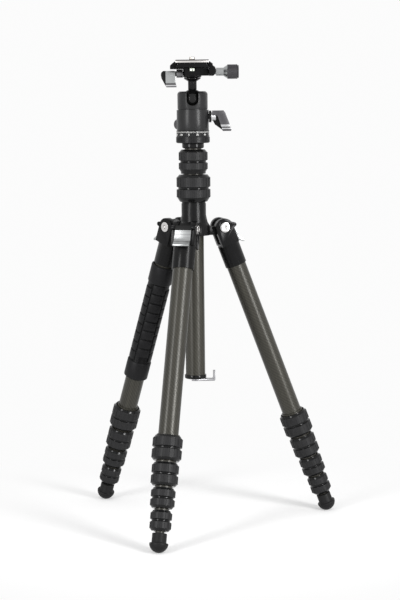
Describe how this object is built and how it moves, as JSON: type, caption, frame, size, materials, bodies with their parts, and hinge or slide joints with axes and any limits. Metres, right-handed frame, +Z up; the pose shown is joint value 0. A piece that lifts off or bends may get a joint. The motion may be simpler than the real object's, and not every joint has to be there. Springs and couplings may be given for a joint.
{
  "type": "camera tripod with ball head",
  "caption": "Folding travel tripod with telescoping legs and centre column, ball head and quick-release camera plate.",
  "frame": {"origin": "on the column axis at floor level", "axes": "+Z up along the column, +X towards the clamp knob, -Y the front of the head with its notch"},
  "size_m": [0.2807, 0.2815, 0.5254],
  "materials": {
    "carbon_tube": "satin carbon fibre under clear lacquer",
    "black_alloy": "satin black anodised",
    "head_alloy": "satin black anodised, fine turned",
    "collar_rubber": "finely knurled rubber",
    "grip_rubber": "moulded blocks",
    "foot_rubber": "smooth rubber",
    "silver_alloy": "satin silver",
    "grey_alloy": "satin dark grey anodised",
    "knob_alloy": "knurled, dark grey",
    "bolt_steel": "bright",
    "ball_alloy": "hard black, polished",
    "nylon": "natural nylon",
    "hook_steel": "satin",
    "plate_alloy": "satin grey anodised",
    "screw_steel": "satin"
  },
  "bodies": {
    "crown": {"crown": "black_alloy", "leg_pivot_bolts": "bolt_steel", "column_clamp_sleeve": "nylon"},
    "front_leg": {"front_leg_top": "black_alloy", "front_leg_tube_1": "carbon_tube"},
    "front_latch": {"front_leg_latch": "silver_alloy"},
    "front_collar_1": {"front_leg_collar_1": "collar_rubber"},
    "front_section_2": {"front_leg_tube_2": "carbon_tube"},
    "front_collar_2": {"front_leg_collar_2": "collar_rubber"},
    "front_section_3": {"front_leg_tube_3": "carbon_tube"},
    "front_collar_3": {"front_leg_collar_3": "collar_rubber"},
    "front_section_4": {"front_leg_tube_4": "carbon_tube"},
    "front_collar_4": {"front_leg_collar_4": "collar_rubber"},
    "front_section_5": {"front_leg_tube_5": "carbon_tube", "front_leg_foot": "foot_rubber"},
    "right_leg": {"right_leg_top": "black_alloy", "right_leg_tube_1": "carbon_tube"},
    "right_latch": {"right_leg_latch": "silver_alloy"},
    "right_collar_1": {"right_leg_collar_1": "collar_rubber"},
    "right_section_2": {"right_leg_tube_2": "carbon_tube"},
    "right_collar_2": {"right_leg_collar_2": "collar_rubber"},
    "right_section_3": {"right_leg_tube_3": "carbon_tube"},
    "right_collar_3": {"right_leg_collar_3": "collar_rubber"},
    "right_section_4": {"right_leg_tube_4": "carbon_tube"},
    "right_collar_4": {"right_leg_collar_4": "collar_rubber"},
    "right_section_5": {"right_leg_tube_5": "carbon_tube", "right_leg_foot": "foot_rubber"},
    "left_leg": {"left_leg_top": "black_alloy", "left_leg_tube_1": "carbon_tube", "left_leg_grip": "grip_rubber"},
    "left_latch": {"left_leg_latch": "silver_alloy"},
    "left_collar_1": {"left_leg_collar_1": "collar_rubber"},
    "left_section_2": {"left_leg_tube_2": "carbon_tube"},
    "left_collar_2": {"left_leg_collar_2": "collar_rubber"},
    "left_section_3": {"left_leg_tube_3": "carbon_tube"},
    "left_collar_3": {"left_leg_collar_3": "collar_rubber"},
    "left_section_4": {"left_leg_tube_4": "carbon_tube"},
    "left_collar_4": {"left_leg_collar_4": "collar_rubber"},
    "left_section_5": {"left_leg_tube_5": "carbon_tube", "left_leg_foot": "foot_rubber"},
    "lower_column": {"column_tube_1": "carbon_tube", "column_end_cap": "black_alloy"},
    "lock_collar": {"column_lock_collar": "collar_rubber"},
    "upper_column": {"column_tube_2": "carbon_tube", "column_platform": "black_alloy", "head_base": "black_alloy"},
    "extension_collar": {"column_extension_collar": "collar_rubber"},
    "hook": {"bag_hook": "hook_steel"},
    "housing": {"head_housing": "head_alloy"},
    "ball": {"head_ball": "ball_alloy"},
    "stem": {"ball_stem": "ball_alloy"},
    "seat": {"ball_seat": "nylon"},
    "ball_lock": {"ball_lock_lever": "grey_alloy"},
    "pan_lock": {"pan_lock_knob": "grey_alloy"},
    "clamp": {"clamp_body": "black_alloy"},
    "turn_lever": {"clamp_pan_lever": "silver_alloy"},
    "jaw": {"clamp_jaw": "black_alloy"},
    "knob": {"clamp_knob": "knob_alloy"},
    "plate": {"camera_plate": "plate_alloy"},
    "screw": {"camera_screw": "screw_steel"}
  },
  "joints": [
    {"name": "front_leg_spread", "type": "hinge", "parent": "crown", "child": "front_leg", "pos_m": [-0.00855, -0.03125, 0.33487], "axis": [-0.9646, 0.2639, 0], "range_deg": [-19, 144]},
    {"name": "front_latch_pull", "type": "hinge", "parent": "front_leg", "child": "front_latch", "pos_m": [-0.0115, -0.04205, 0.33806], "axis": [-0.9646, 0.2639, 0], "range_deg": [0, 20], "stiffness_Nm_per_rad": 0.05, "springref_deg": -5.73},
    {"name": "front_collar_1_twist", "type": "hinge", "parent": "front_leg", "child": "front_collar_1", "pos_m": [-0.03029, -0.11072, 0.11799], "axis": [-0.0937, -0.3425, -0.9348], "range_deg": [0, 90]},
    {"name": "front_section_2_slide", "type": "slide", "parent": "front_leg", "child": "front_section_2", "axis": [-0.0937, -0.3425, -0.9348], "range_m": [0, 0.165]},
    {"name": "front_collar_2_twist", "type": "hinge", "parent": "front_section_2", "child": "front_collar_2", "pos_m": [-0.03302, -0.12072, 0.09069], "axis": [-0.0937, -0.3425, -0.9348], "range_deg": [0, 90]},
    {"name": "front_section_3_slide", "type": "slide", "parent": "front_section_2", "child": "front_section_3", "axis": [-0.0937, -0.3425, -0.9348], "range_m": [0, 0.165]},
    {"name": "front_collar_3_twist", "type": "hinge", "parent": "front_section_3", "child": "front_collar_3", "pos_m": [-0.03557, -0.13003, 0.06527], "axis": [-0.0937, -0.3425, -0.9348], "range_deg": [0, 90]},
    {"name": "front_section_4_slide", "type": "slide", "parent": "front_section_3", "child": "front_section_4", "axis": [-0.0937, -0.3425, -0.9348], "range_m": [0, 0.165]},
    {"name": "front_collar_4_twist", "type": "hinge", "parent": "front_section_4", "child": "front_collar_4", "pos_m": [-0.03784, -0.13832, 0.04265], "axis": [-0.0937, -0.3425, -0.9348], "range_deg": [0, 90]},
    {"name": "front_section_5_slide", "type": "slide", "parent": "front_section_4", "child": "front_section_5", "axis": [-0.0937, -0.3425, -0.9348], "range_m": [0, 0.165]},
    {"name": "right_leg_spread", "type": "hinge", "parent": "crown", "child": "right_leg", "pos_m": [0.03134, 0.00822, 0.33487], "axis": [0.2538, -0.9673, 0], "range_deg": [-19, 144]},
    {"name": "right_latch_pull", "type": "hinge", "parent": "right_leg", "child": "right_latch", "pos_m": [0.04217, 0.01106, 0.33806], "axis": [0.2538, -0.9673, 0], "range_deg": [0, 20], "stiffness_Nm_per_rad": 0.05, "springref_deg": -5.73},
    {"name": "right_collar_1_twist", "type": "hinge", "parent": "right_leg", "child": "right_collar_1", "pos_m": [0.11103, 0.02913, 0.11799], "axis": [0.3435, 0.0901, -0.9348], "range_deg": [0, 90]},
    {"name": "right_section_2_slide", "type": "slide", "parent": "right_leg", "child": "right_section_2", "axis": [0.3435, 0.0901, -0.9348], "range_m": [0, 0.165]},
    {"name": "right_collar_2_twist", "type": "hinge", "parent": "right_section_2", "child": "right_collar_2", "pos_m": [0.12106, 0.03176, 0.09069], "axis": [0.3435, 0.0901, -0.9348], "range_deg": [0, 90]},
    {"name": "right_section_3_slide", "type": "slide", "parent": "right_section_2", "child": "right_section_3", "axis": [0.3435, 0.0901, -0.9348], "range_m": [0, 0.165]},
    {"name": "right_collar_3_twist", "type": "hinge", "parent": "right_section_3", "child": "right_collar_3", "pos_m": [0.1304, 0.03421, 0.06527], "axis": [0.3435, 0.0901, -0.9348], "range_deg": [0, 90]},
    {"name": "right_section_4_slide", "type": "slide", "parent": "right_section_3", "child": "right_section_4", "axis": [0.3435, 0.0901, -0.9348], "range_m": [0, 0.165]},
    {"name": "right_collar_4_twist", "type": "hinge", "parent": "right_section_4", "child": "right_collar_4", "pos_m": [0.13871, 0.03639, 0.04265], "axis": [0.3435, 0.0901, -0.9348], "range_deg": [0, 90]},
    {"name": "right_section_5_slide", "type": "slide", "parent": "right_section_4", "child": "right_section_5", "axis": [0.3435, 0.0901, -0.9348], "range_m": [0, 0.165]},
    {"name": "left_leg_spread", "type": "hinge", "parent": "crown", "child": "left_leg", "pos_m": [-0.02279, 0.02303, 0.33487], "axis": [0.7108, 0.7034, 0], "range_deg": [-19, 144]},
    {"name": "left_latch_pull", "type": "hinge", "parent": "left_leg", "child": "left_latch", "pos_m": [-0.03067, 0.03099, 0.33806], "axis": [0.7108, 0.7034, 0], "range_deg": [0, 20], "stiffness_Nm_per_rad": 0.05, "springref_deg": -5.73},
    {"name": "left_collar_1_twist", "type": "hinge", "parent": "left_leg", "child": "left_collar_1", "pos_m": [-0.08074, 0.08159, 0.11799], "axis": [-0.2498, 0.2524, -0.9348], "range_deg": [0, 90]},
    {"name": "left_section_2_slide", "type": "slide", "parent": "left_leg", "child": "left_section_2", "axis": [-0.2498, 0.2524, -0.9348], "range_m": [0, 0.165]},
    {"name": "left_collar_2_twist", "type": "hinge", "parent": "left_section_2", "child": "left_collar_2", "pos_m": [-0.08803, 0.08896, 0.09069], "axis": [-0.2498, 0.2524, -0.9348], "range_deg": [0, 90]},
    {"name": "left_section_3_slide", "type": "slide", "parent": "left_section_2", "child": "left_section_3", "axis": [-0.2498, 0.2524, -0.9348], "range_m": [0, 0.165]},
    {"name": "left_collar_3_twist", "type": "hinge", "parent": "left_section_3", "child": "left_collar_3", "pos_m": [-0.09483, 0.09582, 0.06527], "axis": [-0.2498, 0.2524, -0.9348], "range_deg": [0, 90]},
    {"name": "left_section_4_slide", "type": "slide", "parent": "left_section_3", "child": "left_section_4", "axis": [-0.2498, 0.2524, -0.9348], "range_m": [0, 0.165]},
    {"name": "left_collar_4_twist", "type": "hinge", "parent": "left_section_4", "child": "left_collar_4", "pos_m": [-0.10087, 0.10193, 0.04265], "axis": [-0.2498, 0.2524, -0.9348], "range_deg": [0, 90]},
    {"name": "left_section_5_slide", "type": "slide", "parent": "left_section_4", "child": "left_section_5", "axis": [-0.2498, 0.2524, -0.9348], "range_m": [0, 0.165]},
    {"name": "column_slide", "type": "slide", "parent": "crown", "child": "lower_column", "axis": [0, 0, 1], "range_m": [0, 0.15]},
    {"name": "lock_collar_twist", "type": "hinge", "parent": "crown", "child": "lock_collar", "pos_m": [0, 0, 0.36417], "axis": [0, 0, 1], "range_deg": [0, 90]},
    {"name": "column_extension_slide", "type": "slide", "parent": "lower_column", "child": "upper_column", "axis": [0, 0, 1], "range_m": [0, 0.15]},
    {"name": "extension_collar_twist", "type": "hinge", "parent": "lower_column", "child": "extension_collar", "pos_m": [0, 0, 0.39557], "axis": [0, 0, 1], "range_deg": [0, 90]},
    {"name": "bag_hook_swivel", "type": "hinge", "parent": "lower_column", "child": "hook", "pos_m": [0, 0, 0.168], "axis": [0, 0, 1], "continuous": true},
    {"name": "head_pan", "type": "hinge", "parent": "upper_column", "child": "housing", "pos_m": [0, 0, 0.44397], "axis": [0, 0, 1], "continuous": true},
    {"name": "ball_tilt_side", "type": "hinge", "parent": "housing", "child": "ball", "pos_m": [0, 0, 0.47787], "axis": [0, 1, 0], "range_deg": [-20, 20]},
    {"name": "ball_tilt_front", "type": "hinge", "parent": "ball", "child": "stem", "pos_m": [0, 0, 0.47787], "axis": [1, 0, 0], "range_deg": [-20, 90]},
    {"name": "ball_lock_turn", "type": "hinge", "parent": "housing", "child": "ball_lock", "pos_m": [0.0179, 0, 0.45897], "axis": [1, 0, 0], "range_deg": [0, 120]},
    {"name": "ball_seat_release", "type": "slide", "parent": "housing", "child": "seat", "axis": [0, 0, -1], "range_m": [0, 0.0004]},
    {"name": "pan_lock_turn", "type": "hinge", "parent": "housing", "child": "pan_lock", "pos_m": [-0.01198, 0.0133, 0.45027], "axis": [-0.6691, 0.7431, 0], "range_deg": [0, 720]},
    {"name": "turntable_pan", "type": "hinge", "parent": "stem", "child": "clamp", "pos_m": [0, 0, 0.50227], "axis": [0, 0, 1], "continuous": true},
    {"name": "turntable_lever_turn", "type": "hinge", "parent": "clamp", "child": "turn_lever", "pos_m": [-0.0102, 0, 0.50687], "axis": [1, 0, 0], "range_deg": [0, 75]},
    {"name": "clamp_knob_turn", "type": "hinge", "parent": "jaw", "child": "knob", "pos_m": [0.0262, 0, 0.50847], "axis": [1, 0, 0], "range_deg": [0, 1080]},
    {"name": "clamp_jaw_slide", "type": "slide", "parent": "clamp", "child": "jaw", "axis": [1, 0, 0], "range_m": [0, 0.003]},
    {"name": "plate_slide", "type": "slide", "parent": "clamp", "child": "plate", "axis": [0, 1, 0], "range_m": [-0.008, 0.008]},
    {"name": "camera_screw_turn", "type": "hinge", "parent": "plate", "child": "screw", "pos_m": [0, 0, 0.52177], "axis": [0, 0, 1], "continuous": true}
  ],
  "couplings": [
    {"joint": "ball_seat_release", "follows": "ball_lock_turn", "m_per_rad": 0.00019099},
    {"joint": "clamp_knob_turn", "follows": "clamp_jaw_slide", "rad_per_m": 6283.2}
  ]
}
